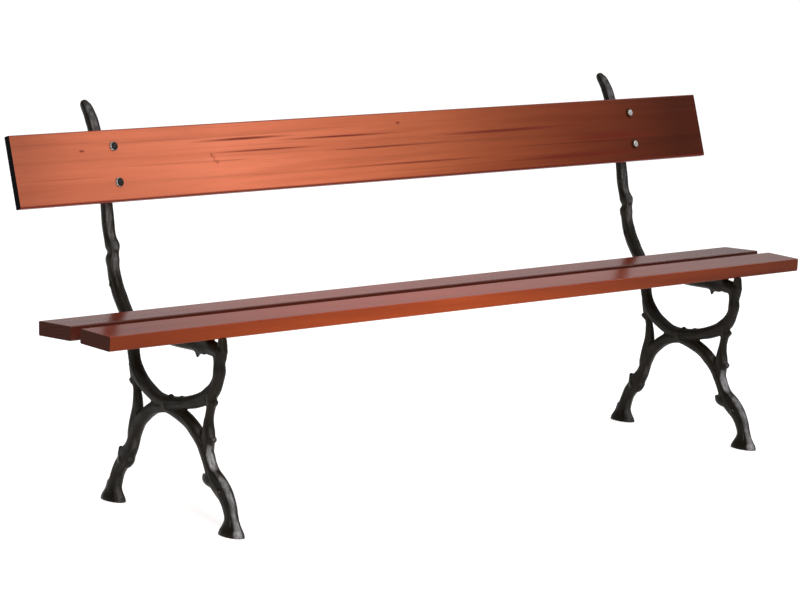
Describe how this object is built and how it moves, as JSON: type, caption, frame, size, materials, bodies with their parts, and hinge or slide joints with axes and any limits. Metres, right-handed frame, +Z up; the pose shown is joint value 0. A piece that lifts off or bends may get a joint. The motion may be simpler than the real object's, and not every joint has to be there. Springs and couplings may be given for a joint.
{
  "type": "park bench",
  "caption": "Rustic park bench with cast branch-shaped end frames, a slatted wooden seat and a plank back.",
  "frame": {"origin": "on the floor, in the middle of the overall length and depth", "axes": "+X along the bench, to the right as seen from in front; +Y to the back of the bench; +Z up"},
  "size_m": [2.028, 0.5495, 0.815],
  "materials": {
    "painted_iron": "dark brown-black paint, semi-gloss",
    "stained_wood": "red-brown stain under satin varnish",
    "zinc_steel": "bright zinc plating"
  },
  "bodies": {
    "root": {"left_end_frame": "painted_iron", "right_end_frame": "painted_iron", "front_seat_plank": "stained_wood", "rear_seat_plank": "stained_wood", "back_plank": "stained_wood", "left_upper_back_bolt": "zinc_steel", "left_upper_back_washer": "zinc_steel", "left_upper_back_nut": "zinc_steel", "left_lower_back_bolt": "zinc_steel", "left_lower_back_washer": "zinc_steel", "left_lower_back_nut": "zinc_steel", "left_front_seat_washer": "zinc_steel", "left_front_seat_screw": "zinc_steel", "left_rear_seat_washer": "zinc_steel", "left_rear_seat_screw": "zinc_steel", "right_upper_back_bolt": "zinc_steel", "right_upper_back_washer": "zinc_steel", "right_upper_back_nut": "zinc_steel", "right_lower_back_bolt": "zinc_steel", "right_lower_back_washer": "zinc_steel", "right_lower_back_nut": "zinc_steel", "right_front_seat_washer": "zinc_steel", "right_front_seat_screw": "zinc_steel", "right_rear_seat_washer": "zinc_steel", "right_rear_seat_screw": "zinc_steel"}
  },
  "joints": []
}
